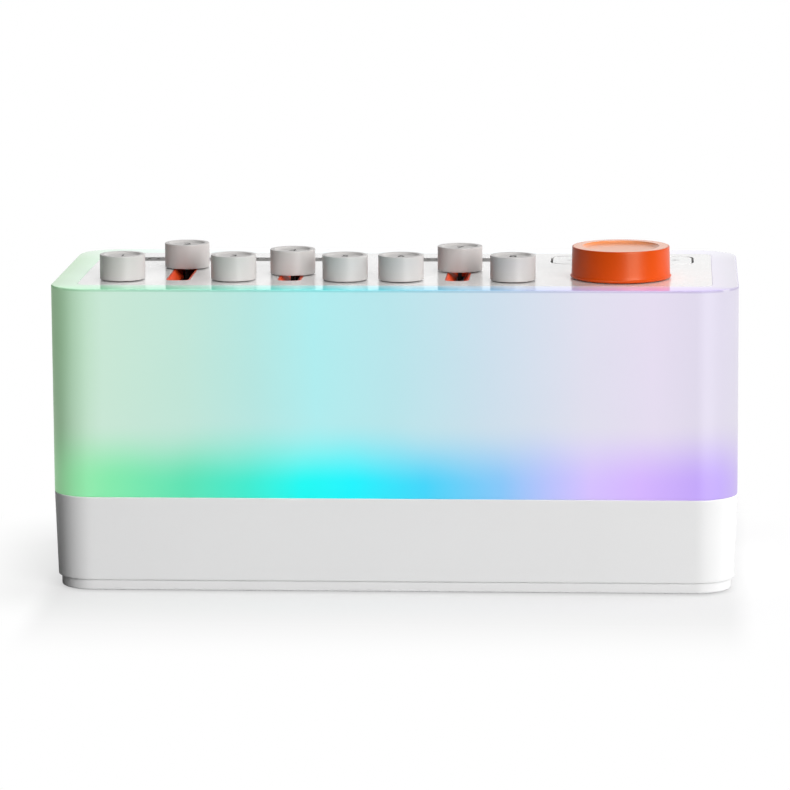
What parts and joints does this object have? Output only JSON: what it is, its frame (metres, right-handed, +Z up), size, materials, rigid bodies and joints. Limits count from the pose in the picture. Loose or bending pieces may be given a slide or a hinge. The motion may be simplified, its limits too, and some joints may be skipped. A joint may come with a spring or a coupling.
{
  "type": "white noise sound machine",
  "caption": "Tabletop sound machine: white base, glowing milky diffuser box, top plate with slide faders, a large dial, a rocker key and sound grilles.",
  "frame": {"origin": "on the table, under the centre of the box", "axes": "+X to the right seen from the front, +Y to the rear, +Z up"},
  "size_m": [0.22, 0.096, 0.1088],
  "materials": {
    "base_white": "fine satin moulded surface",
    "diffuser_milky": "milky translucent, lit from inside, polished top border",
    "plate_white": "matt",
    "cap_grey": "soft-touch warm light grey",
    "dial_orange": "satin orange",
    "slot_orange": "satin orange",
    "key_white": "matt",
    "grille_grey": "dark grey powder coat",
    "foot_rubber": "matt",
    "black_plastic": "matt",
    "core_white": "matt reflector",
    "bright_steel": "zinc plated",
    "dark_steel": "black oxide",
    "board_green": "solder mask",
    "package_black": "moulded packages",
    "led_yellow": "phosphor window",
    "cone_paper": "pressed paper",
    "ferrite": "bare ferrite",
    "ribbon_grey": "flat cable"
  },
  "bodies": {
    "housing": {"base_shell": "base_white", "bottom_cover": "base_white", "foot_pads": "foot_rubber", "cover_screws": "bright_steel", "diffuser_shell": "diffuser_milky", "top_plate": "plate_white", "sound_grille_left": "grille_grey", "sound_grille_right": "grille_grey", "slot_tray": "slot_orange", "encoder_body": "black_plastic", "key_cradle": "black_plastic", "key_pin": "bright_steel", "key_switches": "black_plastic", "control_board": "board_green", "board_screws": "bright_steel", "inner_core": "core_white", "core_screws": "bright_steel", "speaker_frame": "ferrite", "speaker_cone": "cone_paper", "speaker_magnet": "ferrite", "speaker_screws": "bright_steel", "light_strip": "board_green", "light_leds": "led_yellow", "main_board": "board_green", "main_board_parts": "package_black", "main_board_screws": "bright_steel", "power_socket": "bright_steel", "ribbon_cable": "ribbon_grey", "ribbon_plugs": "black_plastic", "fader_pot_1": "dark_steel", "fader_pot_2": "dark_steel", "fader_pot_3": "dark_steel", "fader_pot_4": "dark_steel", "fader_pot_5": "dark_steel", "fader_pot_6": "dark_steel", "fader_pot_7": "dark_steel", "fader_pot_8": "dark_steel"},
    "dial": {"dial": "dial_orange", "encoder_shaft": "bright_steel"},
    "rocker_key": {"rocker_key": "key_white"},
    "fader_1": {"fader_cap_1": "cap_grey", "fader_lever_1": "dark_steel"},
    "fader_2": {"fader_cap_2": "cap_grey", "fader_lever_2": "dark_steel"},
    "fader_3": {"fader_cap_3": "cap_grey", "fader_lever_3": "dark_steel"},
    "fader_4": {"fader_cap_4": "cap_grey", "fader_lever_4": "dark_steel"},
    "fader_5": {"fader_cap_5": "cap_grey", "fader_lever_5": "dark_steel"},
    "fader_6": {"fader_cap_6": "cap_grey", "fader_lever_6": "dark_steel"},
    "fader_7": {"fader_cap_7": "cap_grey", "fader_lever_7": "dark_steel"},
    "fader_8": {"fader_cap_8": "cap_grey", "fader_lever_8": "dark_steel"}
  },
  "joints": [
    {"name": "fader_1_slide", "type": "slide", "parent": "housing", "child": "fader_1", "axis": [0, 1, 0], "range_m": [0, 0.03]},
    {"name": "fader_2_slide", "type": "slide", "parent": "housing", "child": "fader_2", "axis": [0, 1, 0], "range_m": [-0.028, 0.002]},
    {"name": "fader_3_slide", "type": "slide", "parent": "housing", "child": "fader_3", "axis": [0, 1, 0], "range_m": [0, 0.03]},
    {"name": "fader_4_slide", "type": "slide", "parent": "housing", "child": "fader_4", "axis": [0, 1, 0], "range_m": [-0.0134, 0.0166]},
    {"name": "fader_5_slide", "type": "slide", "parent": "housing", "child": "fader_5", "axis": [0, 1, 0], "range_m": [0, 0.03]},
    {"name": "fader_6_slide", "type": "slide", "parent": "housing", "child": "fader_6", "axis": [0, 1, 0], "range_m": [0, 0.03]},
    {"name": "fader_7_slide", "type": "slide", "parent": "housing", "child": "fader_7", "axis": [0, 1, 0], "range_m": [-0.0216, 0.0084]},
    {"name": "fader_8_slide", "type": "slide", "parent": "housing", "child": "fader_8", "axis": [0, 1, 0], "range_m": [0, 0.03]},
    {"name": "dial_turn", "type": "hinge", "parent": "housing", "child": "dial", "pos_m": [0.0723, -0.0173, 0.0985], "axis": [0, 0, 1], "continuous": true},
    {"name": "key_rock", "type": "hinge", "parent": "housing", "child": "rocker_key", "pos_m": [0.0723, 0.0233, 0.093], "axis": [0, 1, 0], "range_deg": [-1.2, 1.2], "stiffness_Nm_per_rad": 1}
  ]
}
